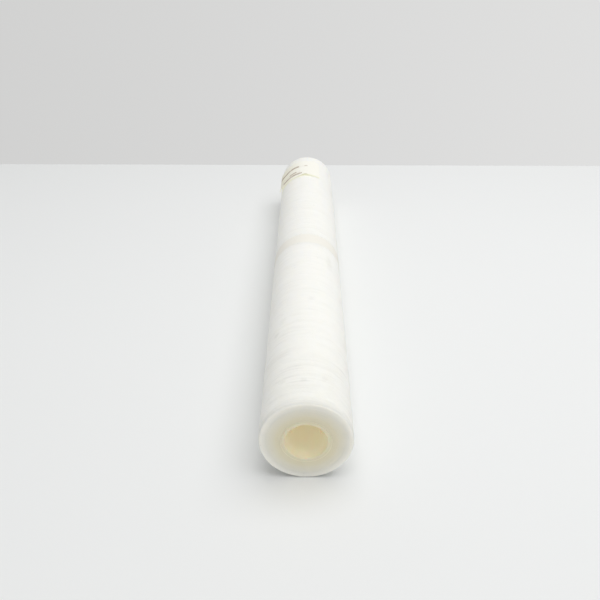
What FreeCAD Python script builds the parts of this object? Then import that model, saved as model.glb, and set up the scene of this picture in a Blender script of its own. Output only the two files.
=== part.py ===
import FreeCAD, Part
import os
import Sketcher

# A 20 inch spun polypropylene filter cartridge, lying on its side.
# It runs along Y with its near end at -Y, and rests on a small flat at the height zero.
# All sizes are in millimetres and all angles in degrees.

DRIVING_SIZES = [
    ("element_length", 254.0, "one spun element from end to end, and its core without the spigot"),
    ("outer_diameter", 63.0, "spun tube over the crests of its passes"),
    ("bore_diameter", 28.0, "clear way through the core"),
    ("core_wall", 2.5, "wall of the moulded core"),
    ("core_collar", 20.0, "plain length without windows at each end of a core"),
    ("window_width", 8.0, "core window, measured across"),
    ("window_length", 20.0, "core window, measured along"),
    ("window_rows", 7, "windows in each column along a core"),
    ("column_pairs", 3, "pairs of window columns round a core"),
    ("spigot_length", 8.0, "how far the front core plugs into the rear core"),
    ("spigot_wall", 1.2, "wall of the spigot"),
    ("spigot_clearance", 0.05, "radial room between spigot and socket"),
    ("spigot_end_gap", 0.3, "room between the spigot's end and the socket's floor"),
    ("low_passes", 5, "passes of the web on an element that lie a little lower, one in two"),
    ("pass_step", 0.2, "how much lower they lie"),
    ("rim_bevel", 1.2, "bevel of the spun tube's outer rim"),
    ("band_width", 20.0, "joint band, measured along"),
    ("band_thickness", 0.8, "joint band's wall"),
    ("flat_width", 10.0, "flat spot that the soft tube rests on"),
    ("label_length", 56.0, "paper label, measured along"),
    ("label_end_gap", 18.0, "from the far end to the label"),
    ("label_left_angle", 75.0, "how far the label reaches down the left side from the top"),
    ("label_right_angle", 28.0, "how far the label reaches down the right side from the top"),
    ("label_thickness", 0.15, "paper label"),
    ("label_glue", 0.05, "layer of glue between the spun tube and the label"),
]

# Sheet formulas that several pieces share.
OUTER_RADIUS = "(sizes.outer_diameter / 2)"
BORE_RADIUS = "(sizes.bore_diameter / 2)"
CORE_RADIUS = f"({BORE_RADIUS} + sizes.core_wall)"
SPIGOT_RADIUS = f"({BORE_RADIUS} + sizes.spigot_wall)"
SOCKET_RADIUS = f"({SPIGOT_RADIUS} + sizes.spigot_clearance)"
SOCKET_DEPTH = "(sizes.spigot_length + sizes.spigot_end_gap)"
BAND_SEAT_RADIUS = f"({OUTER_RADIUS} - sizes.band_thickness)"
AXIS_HEIGHT = f"sqrt({OUTER_RADIUS} ^ 2 - (sizes.flat_width / 2) ^ 2)"
PASS_LENGTH = "(sizes.element_length / sizes.low_passes / 2)"
WINDOW_TRAVEL = "(sizes.element_length - 2 * sizes.core_collar - sizes.window_length)"
WINDOW_PITCH = f"({WINDOW_TRAVEL} / (sizes.window_rows - 0.5))"

FRONT, REAR = -1, 1     # the side of the joint that an element lies on, along Y
DOWNWARDS = "90"        # turns an outline down, so that the flat takes away the turned skin's seam
FIND_WITHIN = 0.001     # how near an edge lies to the place where it is looked for

document = FreeCAD.newDocument("filter_cartridge")


def fill_sheet():
    """puts each driving size in the sheet, with its name, its value and what it is"""
    sheet = document.addObject("Spreadsheet::Sheet", "sizes")
    for row, (name, value, meaning) in enumerate(DRIVING_SIZES, start=1):
        sheet.set(f"A{row}", name)
        sheet.set(f"B{row}", str(value))
        sheet.set(f"C{row}", meaning)
        sheet.setAlias(f"B{row}", name)
    document.recompute()
    return sheet


sizes = fill_sheet()


def new_body(name):
    """one sub-part, modelled round the cartridge's axis and lifted to lie on its flat"""
    body = document.addObject("PartDesign::Body", name)
    body.Label = name
    body.setExpression("Placement.Base.z", AXIS_HEIGHT)
    return body


def origin_feature(body, role):
    """the body's own origin plane or axis of that role"""
    return next(feature for feature in body.Origin.OriginFeatures if feature.Role == role)


def outline(body, name, plane, corners, turn="0"):
    """closed outline of straight lines, each corner held by two sheet formulas"""
    sketch = body.newObject("Sketcher::SketchObject", name)
    sketch.AttachmentSupport = (origin_feature(body, plane), [""])
    sketch.MapMode = "FlatFace"
    start_turn = FreeCAD.Rotation(FreeCAD.Vector(0, 1, 0), sizes.evalExpression(turn))
    sketch.AttachmentOffset = FreeCAD.Placement(FreeCAD.Vector(0, 0, 0), start_turn)
    sketch.setExpression("AttachmentOffset.Rotation.Angle", turn)
    points = []
    for across, along in corners:
        points.append(FreeCAD.Vector(sizes.evalExpression(across), sizes.evalExpression(along), 0))
    count = len(corners)
    for index in range(count):
        sketch.addGeometry(Part.LineSegment(points[index], points[(index + 1) % count]), False)
    for index, (across, along) in enumerate(corners):
        add_constraint(sketch, "Coincident", index, 2, (index + 1) % count, 1)
        hold_corner(sketch, "DistanceX", index, points[index].x, across)
        hold_corner(sketch, "DistanceY", index, points[index].y, along)
    document.recompute()
    return sketch


def add_constraint(sketch, *terms):
    """adds one constraint and gives its number"""
    return sketch.addConstraint(Sketcher.Constraint(*terms))


def hold_corner(sketch, kind, index, start, formula):
    """ties one coordinate of a corner to its sheet formula"""
    number = add_constraint(sketch, kind, index, 1, start)
    sketch.setExpression(f"Constraints[{number}]", formula)


def turned(body, kind, name, sketch):
    """a Revolution or a Groove of the sketch round the cartridge's axis"""
    feature = body.newObject(kind, name)
    feature.Profile = sketch
    feature.ReferenceAxis = (sketch, ["V_Axis"])
    feature.Angle = 360
    return feature


def rest_flat(body):
    """cuts the flat spot that the soft tube rests on, along its whole length"""
    below = f"(-{OUTER_RADIUS} - sizes.flat_width)"
    corners = [
        (f"-{OUTER_RADIUS}", below),
        (OUTER_RADIUS, below),
        (OUTER_RADIUS, f"-{AXIS_HEIGHT}"),
        (f"-{OUTER_RADIUS}", f"-{AXIS_HEIGHT}"),
    ]
    sketch = outline(body, "flat_outline", "XZ_Plane", corners)
    flat = body.newObject("PartDesign::Pocket", "rest_flat")
    flat.Profile = sketch
    flat.Type = "ThroughAll"
    flat.Midplane = True


def make_media(name, side):
    """a spun element, with its passes, its half of the band's seat, its bevelled rim and its flat"""
    body = new_body(name)
    corners = [
        (CORE_RADIUS, "0"),
        (OUTER_RADIUS, "0"),
        (OUTER_RADIUS, f"{side} * sizes.element_length"),
        (CORE_RADIUS, f"{side} * sizes.element_length"),
    ]
    turned(body, "PartDesign::Revolution", "tube",
           outline(body, "tube_outline", "XY_Plane", corners, DOWNWARDS))
    cut_low_passes(body, side)
    cut_band_seat(body, side)
    document.recompute()
    bevel_rim(body, side)
    rest_flat(body)
    return body


def cut_low_passes(body, side):
    """the web is laid in passes, and every second one, counted from the joint, lies a little lower"""
    low_radius = f"({OUTER_RADIUS} - sizes.pass_step)"
    beyond = f"({OUTER_RADIUS} + sizes.pass_step)"
    pass_end = f"({side} * {PASS_LENGTH})"
    corners = [(low_radius, "0"), (beyond, "0"), (beyond, pass_end), (low_radius, pass_end)]
    low_pass = turned(body, "PartDesign::Groove", "low_pass",
                      outline(body, "pass_outline", "XY_Plane", corners, DOWNWARDS))
    passes = body.newObject("PartDesign::LinearPattern", "low_passes")
    passes.Originals = [low_pass]
    passes.Direction = (origin_feature(body, "Y_Axis"), [""])
    passes.Reversed = side == FRONT
    passes.setExpression("Occurrences", "sizes.low_passes")
    passes.setExpression("Length", f"(sizes.low_passes - 1) * 2 * {PASS_LENGTH}")
    body.Tip = passes


def cut_band_seat(body, side):
    """half of the seat that lets the joint band lie flush"""
    seat_end = f"({side} * sizes.band_width / 2)"
    beyond = f"({OUTER_RADIUS} + sizes.band_thickness)"
    corners = [
        (BAND_SEAT_RADIUS, "0"),
        (beyond, "0"),
        (beyond, seat_end),
        (BAND_SEAT_RADIUS, seat_end),
    ]
    turned(body, "PartDesign::Groove", "band_seat",
           outline(body, "seat_outline", "XY_Plane", corners, DOWNWARDS))


def bevel_rim(body, side):
    """bevels the outer rim of the free end"""
    trimmed = body.Tip
    rim = circle_name(trimmed.Shape, sizes.outer_diameter / 2, side * sizes.element_length)
    bevel = body.newObject("PartDesign::Chamfer", "rim_bevel")
    bevel.Base = (trimmed, [rim])
    bevel.setExpression("Size", "sizes.rim_bevel")


def circle_name(shape, radius, along):
    """the name of the shape's circular edge of that radius, at that place along the axis"""
    for number, edge in enumerate(shape.Edges, start=1):
        if isinstance(edge.Curve, Part.Circle):
            off_place = abs(edge.Curve.Center.y - along)
            off_size = abs(edge.Curve.Radius - radius)
            if max(off_place, off_size) < FIND_WITHIN:
                return f"Edge{number}"
    raise RuntimeError(f"no circular edge of radius {radius} at {along}")


def make_core_front(name):
    """the near core, with the spigot that plugs into the far core"""
    body = new_body(name)
    corners = [
        (BORE_RADIUS, "-sizes.element_length"),
        (CORE_RADIUS, "-sizes.element_length"),
        (CORE_RADIUS, "0"),
        (SPIGOT_RADIUS, "0"),
        (SPIGOT_RADIUS, "sizes.spigot_length"),
        (BORE_RADIUS, "sizes.spigot_length"),
    ]
    turned(body, "PartDesign::Revolution", "tube", outline(body, "tube_outline", "XY_Plane", corners))
    cut_windows(body, FRONT)
    return body


def make_core_rear(name):
    """the far core, with the socket that takes the spigot"""
    body = new_body(name)
    corners = [
        (SOCKET_RADIUS, "0"),
        (CORE_RADIUS, "0"),
        (CORE_RADIUS, "sizes.element_length"),
        (BORE_RADIUS, "sizes.element_length"),
        (BORE_RADIUS, SOCKET_DEPTH),
        (SOCKET_RADIUS, SOCKET_DEPTH),
    ]
    turned(body, "PartDesign::Revolution", "tube", outline(body, "tube_outline", "XY_Plane", corners))
    cut_windows(body, REAR)
    return body


def cut_windows(body, side):
    """columns of windows, with every second column set half a pitch along"""
    shifted_start = f"(sizes.core_collar + {WINDOW_PITCH} / 2)"
    straight = window(body, "window", side, "sizes.core_collar", "0")
    shifted = window(body, "shifted_window", side, shifted_start, "180 / sizes.column_pairs")
    windows = body.newObject("PartDesign::MultiTransform", "windows")
    windows.Originals = [straight, shifted]
    rows = body.newObject("PartDesign::LinearPattern", "window_rows")
    rows.Direction = (origin_feature(body, "Y_Axis"), [""])
    rows.Reversed = side == FRONT
    rows.setExpression("Occurrences", "sizes.window_rows")
    rows.setExpression("Length", f"(sizes.window_rows - 1) * {WINDOW_PITCH}")
    columns = body.newObject("PartDesign::PolarPattern", "window_columns")
    columns.Axis = (origin_feature(body, "Y_Axis"), [""])
    columns.Angle = 360
    columns.setExpression("Occurrences", "sizes.column_pairs")
    windows.Transformations = [rows, columns]
    body.Tip = windows


def window(body, name, side, start, turn):
    """one window, cut from the axis outwards through the wall on one side"""
    near = f"({side} * {start})"
    far = f"({side} * ({start} + sizes.window_length))"
    corners = [
        ("-sizes.window_width / 2", near),
        ("sizes.window_width / 2", near),
        ("sizes.window_width / 2", far),
        ("-sizes.window_width / 2", far),
    ]
    sketch = outline(body, name + "_outline", "XY_Plane", corners, turn)
    cut = body.newObject("PartDesign::Pocket", name)
    cut.Profile = sketch
    cut.Type = "Length"
    cut.setExpression("Length", f"{CORE_RADIUS} + sizes.core_wall")
    document.recompute()
    return cut


def make_joint_band(name):
    """the band over the seam of the two elements"""
    body = new_body(name)
    near_edge = "-sizes.band_width / 2"
    far_edge = "sizes.band_width / 2"
    corners = [
        (BAND_SEAT_RADIUS, near_edge),
        (OUTER_RADIUS, near_edge),
        (OUTER_RADIUS, far_edge),
        (BAND_SEAT_RADIUS, far_edge),
    ]
    turned(body, "PartDesign::Revolution", "band",
           outline(body, "band_outline", "XY_Plane", corners, DOWNWARDS))
    rest_flat(body)
    return body


def make_label(name):
    """the paper label, bent round the far element over the top and down the left side"""
    body = new_body(name)
    far_edge = "(sizes.element_length - sizes.label_end_gap)"
    near_edge = f"({far_edge} - sizes.label_length)"
    inside = f"({OUTER_RADIUS} + sizes.label_glue)"
    outside = f"({inside} + sizes.label_thickness)"
    corners = [
        (inside, near_edge),
        (outside, near_edge),
        (outside, far_edge),
        (inside, far_edge),
    ]
    sheet = turned(body, "PartDesign::Revolution", "sheet",
                   outline(body, "label_outline", "XY_Plane", corners, "-90 - sizes.label_left_angle"))
    sheet.setExpression("Angle", "sizes.label_left_angle + sizes.label_right_angle")
    return body


def check_document():
    """stops if any object failed to build"""
    for item in document.Objects:
        if "Invalid" in item.State or "Error" in item.State:
            raise RuntimeError(f"{item.Label} failed: {item.State}")


def write_pieces(pieces):
    """writes each sub-part that is whole and valid"""
    os.makedirs("parts", exist_ok=True)
    for piece in pieces:
        if piece.Shape.isNull() or not piece.Shape.isValid():
            raise RuntimeError(f"{piece.Label} has no valid shape")
        piece.Shape.exportStep(f"parts/{piece.Label}.step")


pieces = [
    make_core_front("core_front"),
    make_core_rear("core_rear"),
    make_media("media_front", FRONT),
    make_media("media_rear", REAR),
    make_joint_band("joint_band"),
    make_label("label"),
]
document.recompute()
check_document()
write_pieces(pieces)
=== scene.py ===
import math

import bmesh
import bpy
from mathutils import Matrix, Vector


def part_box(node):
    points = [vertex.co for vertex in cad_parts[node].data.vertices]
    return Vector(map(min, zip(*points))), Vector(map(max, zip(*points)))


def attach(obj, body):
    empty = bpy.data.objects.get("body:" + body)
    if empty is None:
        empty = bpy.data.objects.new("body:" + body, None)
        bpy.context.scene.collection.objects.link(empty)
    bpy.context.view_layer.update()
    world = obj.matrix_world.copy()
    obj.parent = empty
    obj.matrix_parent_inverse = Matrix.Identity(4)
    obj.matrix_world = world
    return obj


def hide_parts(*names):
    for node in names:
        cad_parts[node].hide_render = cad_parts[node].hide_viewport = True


# The looks of a spun fibre filter cartridge that lies on a table, with its near end at -Y.
# Lengths are in metres and angles in radians, unless a name or its comment says degrees.

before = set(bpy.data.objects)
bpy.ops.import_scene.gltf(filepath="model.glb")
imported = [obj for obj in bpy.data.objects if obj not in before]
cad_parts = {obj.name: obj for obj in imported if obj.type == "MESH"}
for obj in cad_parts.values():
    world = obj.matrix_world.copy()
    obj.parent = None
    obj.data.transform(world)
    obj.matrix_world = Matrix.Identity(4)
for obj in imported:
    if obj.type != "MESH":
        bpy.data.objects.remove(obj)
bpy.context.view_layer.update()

MM = 0.001
FRONT, REAR = -1, 1     # the side of the middle joint that a piece lies on, along Y
FULL_TURN = math.tau


def box_of(node):
    """lowest and highest corner of a node of the frame"""
    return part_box(node)


def width_of(node):
    """size of a node of the frame across the cartridge"""
    low, high = box_of(node)
    return high.x - low.x


# Sizes that the frame gives.
OUTER_RADIUS = width_of("media_front") / 2
CORE_RADIUS = width_of("core_front") / 2
AXIS_HEIGHT = box_of("media_front")[1].z - OUTER_RADIUS
ELEMENT_LENGTH = box_of("media_rear")[1].y
SPIGOT_LENGTH = box_of("core_front")[1].y
BAND_HALF = box_of("joint_band")[1].y
LABEL_START = box_of("label")[0].y
LABEL_END = box_of("label")[1].y
AXIS = Vector((0, 0, AXIS_HEIGHT))

# Sizes of the real cartridge that a box doesn't show.
BORE_RADIUS = 14 * MM
BAND_THICKNESS = 0.8 * MM
RIM_BEVEL = 1.2 * MM
LOW_PASSES = 5
PASS_STEP = 0.2 * MM
PASS_SLOPE = 1.2 * MM
SPIGOT_WALL = 1.2 * MM
SPIGOT_CLEARANCE = 0.05 * MM
SPIGOT_END_GAP = 0.3 * MM
CORE_COLLAR = 20 * MM
WINDOW_WIDTH = 8 * MM
WINDOW_LENGTH = 20 * MM
WINDOW_ROWS = 7
COLUMN_PAIRS = 3
LABEL_THICKNESS = 0.15 * MM
LABEL_GLUE = 0.05 * MM
LABEL_LEFT = math.radians(75)
LABEL_RIGHT = math.radians(28)

MERGE = 0.01 * MM       # places that lie nearer than this count as one


# Modelling by hand.

def rest_selection():
    """leaves nothing selected"""
    bpy.ops.object.select_all(action="DESELECT")


def edit(piece):
    """opens one piece in edit mode"""
    rest_selection()
    bpy.context.view_layer.objects.active = piece
    piece.select_set(True)
    bpy.ops.object.mode_set(mode="EDIT")


def done():
    """closes edit mode"""
    bpy.ops.object.mode_set(mode="OBJECT")


def pick_vertices(piece, test):
    """in edit mode, selects only the vertices whose place passes the test"""
    bpy.ops.mesh.select_mode(type="VERT")
    mesh = bmesh.from_edit_mesh(piece.data)
    for vertex in mesh.verts:
        vertex.select = test(vertex.co)
    mesh.select_flush_mode()
    bmesh.update_edit_mesh(piece.data)


def pick_edges(piece, test):
    """in edit mode, selects only the edges whose two ends pass the test"""
    bpy.ops.mesh.select_mode(type="EDGE")
    mesh = bmesh.from_edit_mesh(piece.data)
    for edge in mesh.edges:
        edge.select = test(edge.verts[0].co, edge.verts[1].co)
    mesh.select_flush_mode()
    bmesh.update_edit_mesh(piece.data)


def start_line(name, place):
    """a new piece that is one vertex at that place, left in edit mode"""
    rest_selection()
    bpy.ops.mesh.primitive_plane_add(size=MM, location=(0, 0, 0))
    piece = bpy.context.object
    piece.name = name
    piece.data.name = name
    edit(piece)
    bpy.ops.mesh.select_mode(type="VERT")
    bpy.ops.mesh.select_all(action="SELECT")
    bpy.ops.mesh.merge(type="CENTER")
    bpy.ops.transform.translate(value=place)
    return piece


def draw_wall(name, corners):
    """the outline of a turned wall, from (radius, along) corners, above the axis and in edit mode"""
    places = [AXIS + Vector((0, along, radius)) for radius, along in corners]
    piece = start_line(name, places[0])
    for here, there in zip(places, places[1:]):
        bpy.ops.mesh.extrude_vertices_move(TRANSFORM_OT_translate={"value": there - here})
    ends = (places[0], places[-1])
    pick_vertices(piece, lambda place: min((place - end).length for end in ends) < MERGE)
    bpy.ops.mesh.edge_face_add()
    return piece


def pull(piece, test, move, reach, falloff):
    """in edit mode, moves the vertices that pass the test, and takes along what lies within reach"""
    pick_vertices(piece, test)
    bpy.ops.transform.translate(value=move, use_proportional_edit=True, proportional_size=reach,
                                proportional_edit_falloff=falloff)


def distance_from_axis(place):
    """how far a place lies from the cartridge's axis"""
    return math.hypot(place.x, place.z - AXIS_HEIGHT)


def turn(steps):
    """turns the outline that is being edited once round the cartridge's axis"""
    bpy.ops.mesh.select_all(action="SELECT")
    bpy.ops.mesh.spin(steps=steps, angle=FULL_TURN, center=AXIS, axis=(0, 1, 0))
    bpy.ops.mesh.select_all(action="SELECT")
    bpy.ops.mesh.remove_doubles(threshold=MERGE)
    bpy.ops.mesh.normals_make_consistent(inside=False)


def settle(piece):
    """presses flat what lies below the table, as soft fibre does under its own weight"""
    edit(piece)
    pick_vertices(piece, lambda place: place.z < 0)
    bpy.ops.transform.resize(value=(1, 1, 0), center_override=(0, 0, 0))
    done()


def apply_modifier(piece, kind, **settings):
    """adds one modifier, sets it and applies it"""
    rest_selection()
    bpy.context.view_layer.objects.active = piece
    piece.select_set(True)
    bpy.ops.object.modifier_add(type=kind)
    modifier = piece.modifiers[-1]
    for name, value in settings.items():
        setattr(modifier, name, value)
    bpy.ops.object.modifier_apply(modifier=modifier.name)


def sink_unevenly(piece, name, spread, depth, slant=0):
    """sinks the skin by up to that depth, in hollows about as long as spread says along X, Y and Z"""
    cloud = bpy.data.textures.new(name, "CLOUDS")
    cloud.noise_scale = 1
    cloud.noise_depth = 2
    rest_selection()
    bpy.ops.object.empty_add(location=(0, 0, 0), rotation=(slant, 0, slant))
    helper = bpy.context.object
    helper.scale = spread
    bpy.context.view_layer.update()
    apply_modifier(piece, "DISPLACE", texture=cloud, texture_coords="OBJECT",
                   texture_coords_object=helper, strength=depth, mid_level=1)
    bpy.data.objects.remove(helper)


def smooth(piece, degrees):
    """shades smooth all but the edges sharper than that"""
    rest_selection()
    bpy.context.view_layer.objects.active = piece
    piece.select_set(True)
    bpy.ops.object.shade_smooth_by_angle(angle=math.radians(degrees))


def finish_piece(piece, material, slot, *nodes):
    """gives a piece its finish and its place in the frame"""
    piece.data.materials.clear()
    piece.data.materials.append(material)
    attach(piece, "root")
    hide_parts(*nodes)


# Spun fibre elements.

TUBE_STEPS = 192        # edges round a spun tube, and round the band
PASS_CUTS = 17          # cuts along each pass
FACE_CUTS = 10          # cuts across a cut end face
RIM_SEGMENTS = 3
LAY_SPREAD = (50 * MM, 2.6 * MM, 50 * MM)       # hollows between the turns of the web
LAY_DEPTH = 0.18 * MM
LAY_SLANT = 0.03
DENT_SPREAD = (16 * MM, 16 * MM, 16 * MM)
DENT_DEPTH = 0.16 * MM
SOFT_EDGE = 50          # degrees, past which an edge of fibre, film or paper is shaded sharp


def pass_corners(side):
    """corners of the outer skin, from the joint band's seat to the free end, with every second pass low"""
    pass_length = ELEMENT_LENGTH / LOW_PASSES / 2
    corners = [(OUTER_RADIUS - PASS_STEP, side * BAND_HALF)]
    for number in range(1, 2 * LOW_PASSES):
        before = OUTER_RADIUS - PASS_STEP * (number % 2)
        after = OUTER_RADIUS - PASS_STEP * ((number + 1) % 2)
        corners.append((before, side * (number * pass_length - PASS_SLOPE / 2)))
        corners.append((after, side * (number * pass_length + PASS_SLOPE / 2)))
    corners.append((OUTER_RADIUS, side * (ELEMENT_LENGTH - RIM_BEVEL)))
    return corners


def make_spun_element(name, side):
    """one spun element: passes laid side by side, a seat for the band, a soft rim and a cut end face"""
    seat_radius = OUTER_RADIUS - BAND_THICKNESS
    corners = [
        (CORE_RADIUS, 0),
        (seat_radius, 0),
        (seat_radius, side * BAND_HALF),
        *pass_corners(side),
        (OUTER_RADIUS - RIM_BEVEL, side * ELEMENT_LENGTH),
        (CORE_RADIUS, side * ELEMENT_LENGTH),
    ]
    piece = draw_wall(name, corners)
    end = side * ELEMENT_LENGTH
    pick_vertices(piece, lambda place: distance_from_axis(place) > OUTER_RADIUS - 2 * RIM_BEVEL
                  and abs(place.y - end) < 2 * RIM_BEVEL)
    bpy.ops.mesh.bevel(affect="VERTICES", offset=RIM_BEVEL / 2, segments=RIM_SEGMENTS)
    skin = OUTER_RADIUS - 2 * PASS_STEP
    long_edge = 4 * RIM_BEVEL
    pick_edges(piece, lambda a, b: min(distance_from_axis(a), distance_from_axis(b)) > skin
               and (a - b).length > long_edge)
    bpy.ops.mesh.subdivide(number_cuts=PASS_CUTS)
    pick_edges(piece, lambda a, b: abs(a.y - end) + abs(b.y - end) < MERGE and (a - b).length > long_edge)
    bpy.ops.mesh.subdivide(number_cuts=FACE_CUTS)
    turn(TUBE_STEPS)
    done()
    sink_unevenly(piece, name + "_lay", LAY_SPREAD, LAY_DEPTH, slant=LAY_SLANT)
    sink_unevenly(piece, name + "_dents", DENT_SPREAD, DENT_DEPTH)
    settle(piece)
    smooth(piece, SOFT_EDGE)
    return piece


# Moulded cores.

CORE_STEPS = 120        # edges round a core
MOUTH_BEVEL = 0.5 * MM
WINDOW_CORNER = 1.2 * MM
CORNER_SEGMENTS = 3
CUTTER_DEPTH = 6 * MM   # more than the wall that it goes through
HARD_EDGE = 30          # degrees, past which an edge of moulded plastic is shaded sharp


def core_corners(side):
    """corners of a core's wall, with a spigot on the front one and its socket in the rear one"""
    end = side * ELEMENT_LENGTH
    inset_end = side * (ELEMENT_LENGTH - MOUTH_BEVEL)
    mouth = [
        (BORE_RADIUS, inset_end),
        (BORE_RADIUS + MOUTH_BEVEL, end),
        (CORE_RADIUS, end),
        (CORE_RADIUS, 0),
    ]
    spigot_radius = BORE_RADIUS + SPIGOT_WALL
    if side == FRONT:
        return mouth + [(spigot_radius, 0), (spigot_radius, SPIGOT_LENGTH), (BORE_RADIUS, SPIGOT_LENGTH)]
    socket_radius = spigot_radius + SPIGOT_CLEARANCE
    socket_depth = SPIGOT_LENGTH + SPIGOT_END_GAP
    return mouth + [(socket_radius, 0), (socket_radius, socket_depth), (BORE_RADIUS, socket_depth)]


def make_window_cutter(side):
    """all the windows of a core, as one cutter of rounded blocks"""
    travel = ELEMENT_LENGTH - 2 * CORE_COLLAR - WINDOW_LENGTH
    pitch = travel / (WINDOW_ROWS - 0.5)
    first = side * (ELEMENT_LENGTH - CORE_COLLAR - WINDOW_LENGTH / 2)
    rest_selection()
    bpy.ops.mesh.primitive_cube_add(size=1, location=(0, 0, 0))
    cutter = bpy.context.object
    edit(cutter)
    bpy.ops.mesh.select_all(action="SELECT")
    bpy.ops.transform.resize(value=(WINDOW_WIDTH, WINDOW_LENGTH, CUTTER_DEPTH), center_override=(0, 0, 0))
    upright = CUTTER_DEPTH - MERGE
    pick_edges(cutter, lambda a, b: abs(a.z - b.z) > upright)
    bpy.ops.mesh.bevel(offset=WINDOW_CORNER, segments=CORNER_SEGMENTS)
    bpy.ops.mesh.select_all(action="SELECT")
    bpy.ops.transform.translate(value=AXIS + Vector((0, first, BORE_RADIUS + CUTTER_DEPTH / 3)))
    done()
    apply_modifier(cutter, "ARRAY", count=WINDOW_ROWS, use_relative_offset=False,
                   use_constant_offset=True, constant_offset_displace=(0, -side * pitch, 0))
    edit(cutter)
    bpy.ops.mesh.select_all(action="SELECT")
    for column in range(COLUMN_PAIRS - 1):
        bpy.ops.mesh.duplicate()
        bpy.ops.transform.rotate(value=FULL_TURN / COLUMN_PAIRS, orient_axis="Y", center_override=AXIS)
    bpy.ops.mesh.select_all(action="SELECT")
    bpy.ops.mesh.duplicate()
    bpy.ops.transform.rotate(value=FULL_TURN / COLUMN_PAIRS / 2, orient_axis="Y", center_override=AXIS)
    bpy.ops.transform.translate(value=(0, -side * pitch / 2, 0))
    done()
    return cutter


def make_core(name, side):
    """one moulded core with its windows"""
    piece = draw_wall(name, core_corners(side))
    turn(CORE_STEPS)
    done()
    cutter = make_window_cutter(side)
    apply_modifier(piece, "BOOLEAN", operation="DIFFERENCE", solver="EXACT", object=cutter)
    bpy.data.objects.remove(cutter)
    smooth(piece, HARD_EDGE)
    return piece


# Joint band.

BAND_CUTS = 11          # cuts along the band
BAND_DENT_SPREAD = (14 * MM, 9 * MM, 14 * MM)
BAND_DENT_DEPTH = 0.12 * MM
BAND_TAPER = 2.5 * MM   # how far in from its edges the band thins out, down to the low passes beside it
BAND_EDGE_SINK = 0.12 * MM      # how much lower than those passes its edges lie


def make_band(name):
    """the band over the seam of the two elements, thinned out at its edges"""
    seat_radius = OUTER_RADIUS - BAND_THICKNESS
    edge_radius = OUTER_RADIUS - PASS_STEP - BAND_EDGE_SINK
    corners = [
        (seat_radius, -BAND_HALF),
        (edge_radius, -BAND_HALF),
        (OUTER_RADIUS, BAND_TAPER - BAND_HALF),
        (OUTER_RADIUS, BAND_HALF - BAND_TAPER),
        (edge_radius, BAND_HALF),
        (seat_radius, BAND_HALF),
    ]
    piece = draw_wall(name, corners)
    skin = OUTER_RADIUS - MERGE
    pick_edges(piece, lambda a, b: min(distance_from_axis(a), distance_from_axis(b)) > skin)
    bpy.ops.mesh.subdivide(number_cuts=BAND_CUTS)
    turn(TUBE_STEPS)
    done()
    sink_unevenly(piece, name + "_dents", BAND_DENT_SPREAD, BAND_DENT_DEPTH)
    settle(piece)
    smooth(piece, SOFT_EDGE)
    return piece


# Paper label.

LABEL_CUTS = 34         # cuts along the label
LABEL_STEPS = 72        # edges round it
EDGE_LIFT = 0.01 * MM   # how much each of the rows nearest to the near edge lifts over the one behind it
EDGE_ROWS = 4
BUCKLE_ANGLE = math.radians(-4)
BUCKLE_HALF = math.radians(1.5)
BUCKLE_PULL = (0, 1.5 * MM, 2.2 * MM)
BUCKLE_REACH = 14 * MM
TIP_ANGLE = math.radians(-71)
TIP_PULL = (-1.5 * MM, 0, 0.3 * MM)
TIP_REACH = 13 * MM
CORNER_PULL = (-1.0 * MM, 2.0 * MM, 0.6 * MM)
CORNER_REACH = 9 * MM


def label_angle(place):
    """angle of a place round the axis, from the top towards the right"""
    return math.atan2(place.x, place.z - AXIS_HEIGHT)


def make_label(name):
    """the paper label, bent round the rear element, buckled at its near edge and loose at its left tip"""
    inner_radius = OUTER_RADIUS + LABEL_GLUE
    start = AXIS + Vector((-math.sin(LABEL_LEFT), 0, math.cos(LABEL_LEFT))) * inner_radius
    start.y = LABEL_START
    piece = start_line(name, start)
    bpy.ops.mesh.extrude_vertices_move(TRANSFORM_OT_translate={"value": (0, LABEL_END - LABEL_START, 0)})
    bpy.ops.mesh.select_all(action="SELECT")
    bpy.ops.mesh.subdivide(number_cuts=LABEL_CUTS)
    bpy.ops.mesh.select_all(action="SELECT")
    bpy.ops.mesh.spin(steps=LABEL_STEPS, angle=LABEL_LEFT + LABEL_RIGHT, center=AXIS, axis=(0, -1, 0))
    bpy.ops.mesh.select_all(action="SELECT")
    bpy.ops.mesh.normals_make_consistent(inside=False)
    row_depth = (LABEL_END - LABEL_START) / (LABEL_CUTS + 1)
    first_row = LABEL_START + row_depth / 2
    for row in range(EDGE_ROWS):
        limit = first_row + row * row_depth
        pick_vertices(piece, lambda place: place.y < limit)
        bpy.ops.transform.translate(value=(0, 0, EDGE_LIFT))
    pull(piece, lambda place: place.y < first_row and abs(label_angle(place) - BUCKLE_ANGLE) < BUCKLE_HALF,
         BUCKLE_PULL, BUCKLE_REACH, "SHARP")
    pull(piece, lambda place: label_angle(place) < TIP_ANGLE, TIP_PULL, TIP_REACH, "SMOOTH")
    pull(piece, lambda place: place.y < first_row and label_angle(place) < TIP_ANGLE,
         CORNER_PULL, CORNER_REACH, "SMOOTH")
    done()
    apply_modifier(piece, "SOLIDIFY", thickness=LABEL_THICKNESS, offset=1)
    smooth(piece, SOFT_EDGE)
    return piece


# Shader maths written as plain expressions.

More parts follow.
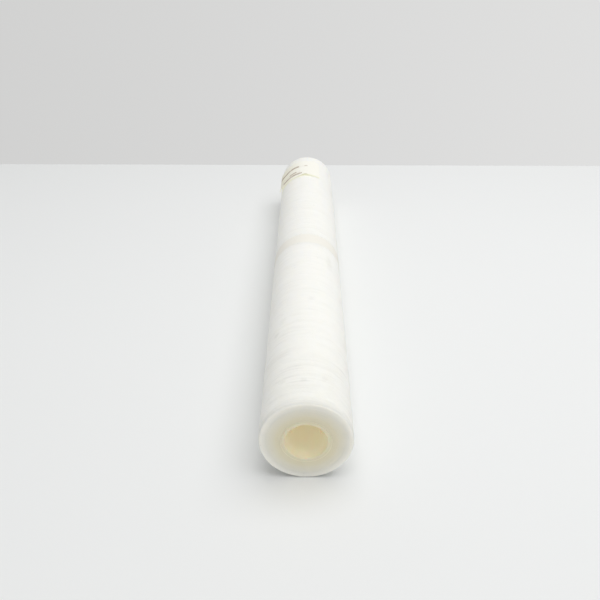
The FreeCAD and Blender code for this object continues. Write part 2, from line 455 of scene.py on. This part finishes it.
class Value:
    """a socket of a node tree, on which plain arithmetic adds Math nodes"""

    def __init__(self, tree, socket):
        self.tree = tree
        self.socket = socket

    def __add__(self, other):
        return self.tree.math("ADD", self, other)

    def __sub__(self, other):
        return self.tree.math("SUBTRACT", self, other)

    def __rsub__(self, other):
        return self.tree.math("SUBTRACT", other, self)

    def __mul__(self, other):
        return self.tree.math("MULTIPLY", self, other)

    def __truediv__(self, other):
        return self.tree.math("DIVIDE", self, other)

    def __rtruediv__(self, other):
        return self.tree.math("DIVIDE", other, self)

    __radd__ = __add__
    __rmul__ = __mul__


class Tree:
    """a node tree, to which each call adds one node"""

    def __init__(self, node_tree):
        self.nodes = node_tree.nodes
        self.links = node_tree.links

    def node(self, kind, settings, inputs, output=0):
        """adds one node, with its settings first and then the values or links of its sockets"""
        node = self.nodes.new(kind)
        for name, value in settings.items():
            if name == "stops":
                self.set_stops(node.color_ramp, value)
            else:
                setattr(node, name, value)
        for name, value in inputs.items():
            self.feed(node.inputs[name], value)
        return Value(self, node.outputs[output])

    def set_stops(self, ramp, stops):
        """gives a ramp its (place, grey) stops"""
        while len(ramp.elements) < len(stops):
            ramp.elements.new(1)
        for element, (place, grey) in zip(ramp.elements, stops):
            element.position = place
            element.color = (grey, grey, grey, 1)

    def feed(self, socket, value):
        """links or sets one socket"""
        if isinstance(value, Value):
            self.links.new(value.socket, socket)
        else:
            socket.default_value = value

    def math(self, operation, *terms):
        """one Math node"""
        return self.node("ShaderNodeMath", {"operation": operation}, dict(enumerate(terms)))

    def ramp(self, value, *stops):
        """greys by value, at the (place, grey) stops"""
        return self.node("ShaderNodeValToRGB", {"stops": stops}, {"Fac": value})

    def noise(self, place, scale, detail=2, roughness=0.5):
        """soft noise from 0 to 1"""
        inputs = {"Vector": place, "Scale": scale, "Detail": detail, "Roughness": roughness}
        return self.node("ShaderNodeTexNoise", {}, inputs, "Fac")

    def mix(self, share, first, second):
        """colour that goes from the first to the second as share goes from 0 to 1"""
        inputs = {0: share, 6: first, 7: second}
        return self.node("ShaderNodeMix", {"data_type": "RGBA"}, inputs, 2)

    def combine(self, x, y, z):
        """a vector of three values"""
        return self.node("ShaderNodeCombineXYZ", {}, {"X": x, "Y": y, "Z": z})

    def split(self, vector):
        """the three values of a vector"""
        parts = self.node("ShaderNodeSeparateXYZ", {}, {"Vector": vector}).socket.node
        return [Value(self, socket) for socket in parts.outputs]


class Finish(Tree):
    """a material built round one Principled shader"""

    def __init__(self, name, **constants):
        self.material = bpy.data.materials.new(name)
        self.material.use_nodes = True
        super().__init__(self.material.node_tree)
        self.shader = self.nodes["Principled BSDF"]
        for socket, value in constants.items():
            self.shader.inputs[socket.replace("_", " ")].default_value = value

    def object_place(self):
        """X, Y and Z of the shaded place"""
        return self.split(self.node("ShaderNodeTexCoord", {}, {}, "Object"))

    def round_place(self):
        """the way round from the top, the way along, and the distance from the axis"""
        x, along, z = self.object_place()
        up = z - AXIS_HEIGHT
        way_round = self.math("ARCTAN2", x, up) * OUTER_RADIUS
        out = self.math("SQRT", x * x + up * up)
        return way_round, along, out

    def depth_from_end(self, along):
        """how far in a place lies from the nearer end of the cartridge"""
        return ELEMENT_LENGTH - self.math("ABSOLUTE", along)

    def faces_axis(self):
        """1 where the surface faces the cartridge's axis, else 0"""
        x, along, z = self.object_place()
        normal = self.split(self.node("ShaderNodeTexCoord", {}, {}, "Normal"))
        return self.math("LESS_THAN", normal[0] * x + normal[2] * (z - AXIS_HEIGHT), 0)

    def drawn_out(self, way_round, along, out, spread, detail=2, roughness=0.5):
        """soft noise from 0 to 1, in patches about as long as spread says, round, along and outwards"""
        place = self.combine(way_round / spread[0], along / spread[1], out / spread[2])
        return self.noise(place, 1, detail, roughness)

    def bump(self, height, distance):
        """feeds the shader's normal from a height between 0 and 1"""
        inputs = {"Height": height, "Distance": distance, "Strength": 1.0}
        self.feed(self.shader.inputs["Normal"], self.node("ShaderNodeBump", {}, inputs))

    def colour(self, colour):
        """feeds the shader's colour"""
        self.feed(self.shader.inputs["Base Color"], colour)

    def glow(self, share, colour):
        """feeds the shader's own light, as far as share says"""
        self.feed(self.shader.inputs["Emission Color"], self.mix(share, (0, 0, 0, 1), colour))

    def roughness(self, roughness):
        """feeds the shader's roughness"""
        self.feed(self.shader.inputs["Roughness"], roughness)


# Finishes.

WEB_WHITE = (0.965, 0.96, 0.90, 1)
# the darker tone of the fibre's streaks and lines, also used for the painted shade near each end
WEB_SHADE = (0.81, 0.805, 0.75, 1)
WEB_CUT = (0.97, 0.945, 0.85, 1)        # the cut end faces
WEB_INNER = (0.90, 0.83, 0.60, 1)       # the fibre next to the core, warmer: partly stained by the core, partly painted light from the bore
# colour of the painted glow on the bore side and on the rims
WEB_PAINTED_GLOW = (1.0, 0.97, 0.90, 1)
WEB_SCATTER = (1.0, 0.93, 0.78)
WEB_SCATTER_DEPTH = 7 * MM
WEB_BUMP = 0.55 * MM
STREAK_SPREAD = (40 * MM, 2.9 * MM, 1.5 * MM)   # round, along and outwards, as the spreads below
STREAK_SHADE = 0.58     # how strongly the streaks darken the skin
LINE_SHADE = 0.5        # and how strongly the lines do
CUT_FACE_LIGHTER = 0.5  # how much of that shade a cut end face loses
CLOUD_SPREAD = (14 * MM, 7 * MM, 9 * MM)
SPECK_SPREAD = (4.5 * MM, 2.2 * MM, 3 * MM)
BREAK_SIZE = 22 * MM    # how large the stretches are on which the lines show or fade
LINE_PITCH = 5.8 * MM
LINE_SLANT = 0.03
INNER_DEPTH = 11 * MM   # how far out from the core that warmer tint reaches, stain and painted light
COARSE_LENGTH = 120 * MM    # how far in from the near end the lay of the fibre is coarser
RIM_SHADE_DEPTH = 6 * MM      # how far in from each end the skin is darker, as painted shade by the rim
RIM_HIGHLIGHT_DEPTH = 5 * MM        # how far down from the rim the cut face gets a painted highlight
BORE_SIDE_DEPTH = 0.5 * MM      # how far out from the core the fibre counts as facing the bore
PAINTED_BORE_GLOW = 0.85   # how strongly it glows there, a painted glow for the light that comes through the fibre
MARK_GREY = (0.60, 0.60, 0.53, 1)
SPECK_STRENGTH = 0.45
# The two lays of fine fibre that cross each other: how much each leans off the way round and off the
# way along, and its spread.
CROSSED_LAYS = [
    (0.5, -0.4, (3 * MM, 0.3 * MM, 1 * MM)),
    (-0.3, 0.5, (4 * MM, 0.25 * MM, 1 * MM)),
]
# Smudges on the skin: the middle of each in degrees from the top and in metres along the cartridge,
# half its size round the cartridge and half its size along it, and how strong it is.
SMUDGES = [
    (-4, -228 * MM, 2.6 * MM, 2.4 * MM, 0.34),
    (23, -224 * MM, 2.0 * MM, 3.0 * MM, 0.18),
    (-32, -225 * MM, 3.2 * MM, 2.2 * MM, 0.18),
    (-47, -159 * MM, 3.0 * MM, 3.0 * MM, 0.24),
    (-36, -145 * MM, 3.2 * MM, 5.0 * MM, 0.18),
    (8, -117 * MM, 3.4 * MM, 3.2 * MM, 0.15),
    (41, -40 * MM, 3.6 * MM, 14 * MM, 0.26),
]


def crossed_fibres(finish, way_round, along, out):
    """the mat of fine fibres that cross each other, from 0 to 1"""
    mat = 0
    for lean_round, lean_along, spread in CROSSED_LAYS:
        leaning_round = way_round + along * lean_round
        leaning_along = along + way_round * lean_along
        lay = finish.drawn_out(leaning_round, leaning_along, out, spread, detail=3)
        mat = mat + lay / len(CROSSED_LAYS)
    return mat


def skin_marks(finish, way_round, along, out):
    """the specks and smudges on the skin, and how strong they are"""
    spots = finish.drawn_out(way_round, along, out, SPECK_SPREAD, detail=3, roughness=0.6)
    marks = finish.ramp(spots, (0.70, 0), (0.78, 1)) * SPECK_STRENGTH
    for angle, middle, half_round, half_along, strength in SMUDGES:
        off_round = (way_round - math.radians(angle) * OUTER_RADIUS) / half_round
        off_along = (along - middle) / half_along
        off = off_round * off_round + off_along * off_along + (spots - 0.5) * 4
        marks = marks + finish.ramp(off * 0.5 + 0.3, (0, 1), (1, 0)) * strength
    return marks


def make_spun_fibre():
    """white spun fibre, with broken lines round it, a mat of crossed fibres and a few faint marks; painted
    shade near its ends, painted highlights on its rims and a painted glow on its bore side
    """
    finish = Finish("spun_fibre", Subsurface_Weight=0.45, Subsurface_Radius=WEB_SCATTER,
                    Subsurface_Scale=WEB_SCATTER_DEPTH, Sheen_Weight=0.12, Emission_Strength=0.13)
    way_round, along, out = finish.round_place()
    slanted = along + way_round * LINE_SLANT
    streaks = finish.drawn_out(way_round, slanted, out, STREAK_SPREAD)
    patches = finish.noise(finish.combine(way_round, along, out), 1 / BREAK_SIZE)
    broken = finish.ramp(patches, (0.40, 0), (0.62, 1))
    off_line = finish.math("ABSOLUTE", finish.math("FRACT", slanted / LINE_PITCH) - 0.5)
    lines = finish.ramp(off_line * 2 + streaks * 0.5, (0.10, 1), (0.42, 0)) * broken
    mat = crossed_fibres(finish, way_round, along, out)
    cloud = finish.drawn_out(way_round, along, out, CLOUD_SPREAD)

    streak_shade = finish.ramp(streaks, (0.30, 1), (0.50, 0)) * broken * STREAK_SHADE
    mat_shade = finish.ramp(mat, (0.30, 0.35), (0.60, 0))
    cloud_shade = finish.ramp(cloud, (0.35, 0.20), (0.60, 0))
    coarse = finish.ramp((along + ELEMENT_LENGTH) / COARSE_LENGTH, (0, 1), (1, 0.36))
    from_end = finish.depth_from_end(along)
    # painted shade: the skin darkens towards each end
    painted_rim_shade = finish.ramp(from_end / RIM_SHADE_DEPTH, (0.3, 0.6), (1, 0))
    shade = (streak_shade + lines * LINE_SHADE + mat_shade + cloud_shade) * coarse + painted_rim_shade
    cut_face = finish.ramp(from_end / RIM_BEVEL + (mat - 0.5), (0.2, 1), (1, 0))
    shade = shade * (1 - cut_face * CUT_FACE_LIGHTER)

    skin = finish.mix(cut_face, WEB_WHITE, WEB_CUT)
    # warmer next to the core: partly a stain from the core, partly painted light from the bore
    near_core = finish.ramp((out - CORE_RADIUS) / INNER_DEPTH, (0, 1), (0.3, 0.8), (0.5, 0.5), (1, 0))
    web = finish.mix(near_core, finish.mix(shade, skin, WEB_SHADE), WEB_INNER)
    marks = skin_marks(finish, way_round, along, out)
    finish.colour(finish.mix(marks, web, MARK_GREY))

    # painted glow on the fibre that faces the bore
    bore_side = finish.math("LESS_THAN", out, CORE_RADIUS + BORE_SIDE_DEPTH)
    # painted highlight: the rim of each cut face glows
    painted_rim_highlight = finish.ramp((OUTER_RADIUS - out) / RIM_HIGHLIGHT_DEPTH, (0.1, 1), (1, 0)) * cut_face
    finish.glow(bore_side * PAINTED_BORE_GLOW + painted_rim_highlight, WEB_PAINTED_GLOW)
    finish.roughness(0.86 + mat * 0.12)
    finish.bump((streaks * 0.30 + mat * 0.55 + (1 - lines) * 0.15) * coarse, WEB_BUMP)
    return finish.material


CORE_CREAM = (0.93, 0.87, 0.66, 1)
CORE_DEEP = (0.88, 0.80, 0.55, 1)
CORE_PAINTED_GLOW = (1.0, 1.0, 0.94, 1)
CORE_SCATTER_DEPTH = 4 * MM
CORE_BUMP = 0.05 * MM
FLOW_SPREAD = (2 * MM, 30 * MM, 4 * MM)
CORE_CLOUD_SIZE = 12 * MM
CORE_SKIN = 1.6 * MM    # the outer part of the wall, which doesn't face the bore
WINDOW_MARGIN = 1 * MM  # how far before the first windows the painted glow on the core begins
MOUTH_SHADE_DEPTH = 7 * MM      # how far in from the mouth the painted glow is weaker


def make_core_plastic():
    """cream moulded plastic with faint flow marks along it, and a painted glow on its bore side and window
    walls for the light that comes through it
    """
    finish = Finish("core_plastic", Subsurface_Weight=0.3, Subsurface_Scale=CORE_SCATTER_DEPTH,
                    Specular_IOR_Level=0.4, Emission_Strength=0.105)
    way_round, along, out = finish.round_place()
    flow = finish.drawn_out(way_round, along, out, FLOW_SPREAD, detail=3)
    cloud = finish.noise(finish.combine(way_round, along, out), 1 / CORE_CLOUD_SIZE)
    finish.colour(finish.mix(flow * 0.4 + cloud * 0.5, CORE_CREAM, CORE_DEEP))
    from_end = finish.depth_from_end(along)
    bore_side = finish.math("LESS_THAN", out, CORE_RADIUS - CORE_SKIN)
    past_collar = finish.math("GREATER_THAN", from_end, CORE_COLLAR - WINDOW_MARGIN)
    past_mouth = finish.ramp(from_end / MOUTH_SHADE_DEPTH, (0.07, 0), (0.25, 0.5), (1, 1))
    # painted glow on the bore side and past the collar, fading in from the mouth
    finish.glow(finish.math("MAXIMUM", bore_side, past_collar) * past_mouth, CORE_PAINTED_GLOW)
    finish.roughness(0.4 + flow * 0.2)
    finish.bump(flow, CORE_BUMP)
    return finish.material


BAND_CREAM = (0.915, 0.895, 0.825, 1)
BAND_DEEP = (0.89, 0.865, 0.785, 1)
BAND_BUMP = 0.12 * MM
BAND_FADE = 3 * MM      # over how much of its edges the band takes on the tone of the fibre
WRAP_SPREAD = (35 * MM, 1.6 * MM, 1 * MM)
BAND_CLOUD_SIZE = 9 * MM


def make_band_film():
    """smooth off-white film over the joint, with faint wrap marks round it and soft edges"""
    finish = Finish("band_film")
    way_round, along, out = finish.round_place()
    wraps = finish.drawn_out(way_round, along, out, WRAP_SPREAD)
    cloud = finish.noise(finish.combine(way_round, along, out), 1 / BAND_CLOUD_SIZE)
    film = finish.mix(wraps * 0.4 + cloud * 0.4, BAND_CREAM, BAND_DEEP)
    from_edge = (BAND_HALF - finish.math("ABSOLUTE", along)) / BAND_FADE
    finish.colour(finish.mix(finish.ramp(from_edge, (0, 0.3), (1, 1)), WEB_WHITE, film))
    finish.roughness(0.6 + wraps * 0.2)
    finish.bump(wraps * 0.6 + cloud * 0.4, BAND_BUMP)
    return finish.material


PAPER_CREAM = (0.975, 0.965, 0.895, 1)
PAPER_DEEP = (0.955, 0.94, 0.845, 1)
PAPER_YELLOWED = (0.93, 0.90, 0.75, 1)  # the left part, yellower than the top
YELLOWED_START = -6 * MM        # how far round from the top the yellower part begins
YELLOWED_WIDTH = 28 * MM        # and over how much it sets in
PAPER_EDGE_SHADE = (0.90, 0.89, 0.66, 1)      # the near edge, painted with yellow-green shade where the edge lifts off
PAPER_EDGE_SHADE_WIDTH = 5 * MM
PAPER_PAINTED_GLOW = (0.98, 1.0, 0.80, 1)      # painted glow on the paper's inner side, for the light that comes through the thin paper
PAPER_BUMP = 0.06 * MM
PAPER_FIBRE_SIZE = 0.6 * MM
PAPER_CLOUD_SIZE = 14 * MM
PRINT_BROWN = (0.40, 0.31, 0.23, 1)
WEAR_SPREAD = (5 * MM, 3 * MM, 1 * MM)
# Plain printed bars and fields: the middle of each along the cartridge from the label's near edge,
# its width, its two ends round the cartridge in degrees from the top, and how strong its ink is.
PRINT_BARS = [
    (15 * MM, 15.0 * MM, -66, -15, 0.10),
    (38 * MM, 9.5 * MM, -74, -17, 0.10),
    (12 * MM, 4.8 * MM, -61, -11, 0.80),
    (19.5 * MM, 4.0 * MM, -42, -24, 0.75),
    (38 * MM, 5.0 * MM, -72, -19, 0.80),
    (37 * MM, 1.6 * MM, -19, -6, 0.20),
    (37 * MM, 3.2 * MM, -6, 1, 0.55),
]


def worn_print(finish, way_round, along, out):
    """the worn ink of the printed bars, and how strong it is"""
    ink = 0
    for middle, width, start, end, strength in PRINT_BARS:
        off_along = finish.math("ABSOLUTE", along - (LABEL_START + middle))
        half_round = math.radians(end - start) / 2 * OUTER_RADIUS
        off_round = finish.math("ABSOLUTE", way_round - math.radians(start + end) / 2 * OUTER_RADIUS)
        on_line = finish.math("LESS_THAN", off_along, width / 2)
        ink = ink + on_line * finish.math("LESS_THAN", off_round, half_round) * strength
    wear = finish.drawn_out(way_round, along, out, WEAR_SPREAD, detail=4)
    return ink * finish.ramp(wear, (0.30, 0.55), (0.60, 1))


def make_label_paper():
    """cream paper, yellower on its left part, with plain, worn red-brown bars there, painted yellow-green
    shade along its near edge and a painted glow on its inner side
    """
    finish = Finish("label_paper", Specular_IOR_Level=0.3, Emission_Strength=0.26)
    way_round, along, out = finish.round_place()
    place = finish.combine(way_round, along, out)
    fibres = finish.noise(place, 1 / PAPER_FIBRE_SIZE, detail=4)
    cloud = finish.noise(place, 1 / PAPER_CLOUD_SIZE)
    sheet = finish.mix(cloud * 0.5 + fibres * 0.3, PAPER_CREAM, PAPER_DEEP)
    yellowed = finish.ramp((YELLOWED_START - way_round) / YELLOWED_WIDTH, (0, 0), (1, 0.85))
    sheet = finish.mix(yellowed, sheet, PAPER_YELLOWED)
    # painted shade: yellow-green along the near edge
    from_edge = (along - LABEL_START) / PAPER_EDGE_SHADE_WIDTH
    paper = finish.mix(finish.ramp(from_edge, (0, 0.7), (1, 0)), sheet, PAPER_EDGE_SHADE)
    finish.colour(finish.mix(worn_print(finish, way_round, along, out), paper, PRINT_BROWN))
    # painted glow on the inner side of the paper
    finish.glow(finish.faces_axis(), PAPER_PAINTED_GLOW)
    finish.roughness(0.72 + fibres * 0.15)
    finish.bump(fibres, PAPER_BUMP)
    return finish.material


# Table, light and camera.

TABLE_EDGE = 0.412      # where the table ends behind the cartridge
TABLE_FRONT = 2.5
TABLE_SIDE = 2.5
TABLE_WHITE = (0.86, 0.87, 0.865, 1)
TABLE_GREY = (0.82, 0.83, 0.83, 1)
TABLE_CLOUDS = 3        # clouds of tone to a metre
WALL_LEFT = (0.63, 0.63, 0.625, 1)
WALL_RIGHT = (0.76, 0.76, 0.755, 1)
WALL_SPREAD = 0.5       # how far to each side, as a share of the view's direction, the wall's painted light changes
SKY_LIGHT = (1.0, 1.0, 1.0, 1)
SKY_STRENGTH = 0.44
LAMP_PLACE = (0.36, -0.05, 1.6)
LAMP_SIZE = 1.8
LAMP_POWER = 20.6       # watts


def make_table():
    """the pale table top that it lies on"""
    rest_selection()
    bpy.ops.mesh.primitive_plane_add(size=1, location=(0, 0, 0))
    table = bpy.context.object
    table.name = "table_top"
    edit(table)
    bpy.ops.mesh.select_all(action="SELECT")
    bpy.ops.transform.resize(value=(2 * TABLE_SIDE, TABLE_EDGE + TABLE_FRONT, 1), center_override=(0, 0, 0))
    bpy.ops.transform.translate(value=(0, (TABLE_EDGE - TABLE_FRONT) / 2, 0))
    done()
    finish = Finish("table_white", Roughness=0.8)
    x, y, z = finish.object_place()
    cloud = finish.noise(finish.combine(x, y, z), TABLE_CLOUDS)
    finish.colour(finish.mix(cloud * 0.3, TABLE_WHITE, TABLE_GREY))
    table.data.materials.append(finish.material)


def make_surroundings():
    """even light from all round, and behind the table a pale wall with painted light that makes it lighter
    to the right
    """
    world = bpy.data.worlds.new("studio")
    bpy.context.scene.world = world
    world.use_nodes = True
    sky = Tree(world.node_tree)
    sky.nodes.remove(sky.nodes["Background"])
    across = sky.split(sky.node("ShaderNodeTexCoord", {}, {}, "Generated"))[0]
    spread = {"Value": across, "From Min": -WALL_SPREAD, "From Max": WALL_SPREAD}
    share = sky.node("ShaderNodeMapRange", {}, spread)
    seen = sky.node("ShaderNodeBackground", {}, {"Color": sky.mix(share, WALL_LEFT, WALL_RIGHT)})
    lit = sky.node("ShaderNodeBackground", {}, {"Color": SKY_LIGHT, "Strength": SKY_STRENGTH})
    rays = sky.node("ShaderNodeLightPath", {}, {}).socket.node
    shows_wall = 0
    for kind in ("Is Camera Ray", "Is Glossy Ray", "Is Transmission Ray"):
        shows_wall = shows_wall + Value(sky, rays.outputs[kind])
    surroundings = sky.node("ShaderNodeMixShader", {}, {0: shows_wall, 1: lit, 2: seen})
    sky.feed(sky.nodes["World Output"].inputs["Surface"], surroundings)


def add_lamp(name, place, size, power):
    """one soft square lamp that faces the cartridge"""
    rest_selection()
    bpy.ops.object.light_add(type="AREA", location=place)
    lamp = bpy.context.object
    lamp.name = name
    lamp.data.size = size
    lamp.data.energy = power
    lamp.rotation_euler = (AXIS - Vector(place)).to_track_quat("-Z", "Y").to_euler()


CAMERA_PLACE = (-0.0007, -0.589, 0.326)
CAMERA_TILT = math.radians(60.6)
CAMERA_TURN = math.radians(0.57)
CAMERA_LENS = 40.3


def make_camera():
    """the photo's view, from above the near end"""
    rest_selection()
    bpy.ops.object.camera_add(location=CAMERA_PLACE, rotation=(CAMERA_TILT, 0, CAMERA_TURN))
    camera = bpy.context.object
    camera.data.lens = CAMERA_LENS
    bpy.context.scene.camera = camera


def main():
    """makes the pieces, their finishes and the studio"""
    spun_fibre = make_spun_fibre()
    core_plastic = make_core_plastic()
    band_film = make_band_film()
    label_paper = make_label_paper()
    finish_piece(make_spun_element("spun_front", FRONT), spun_fibre, "spun_fibre", "media_front")
    finish_piece(make_spun_element("spun_rear", REAR), spun_fibre, "spun_fibre", "media_rear")
    finish_piece(make_core("moulded_core_front", FRONT), core_plastic, "core_plastic", "core_front")
    finish_piece(make_core("moulded_core_rear", REAR), core_plastic, "core_plastic", "core_rear")
    finish_piece(make_band("wrapped_band"), band_film, "band_film", "joint_band")
    finish_piece(make_label("paper_label"), label_paper, "label_paper", "label")
    make_table()
    make_surroundings()
    add_lamp("ceiling_light", LAMP_PLACE, LAMP_SIZE, LAMP_POWER)
    make_camera()
    bpy.context.scene.view_settings.view_transform = "Standard"


main()
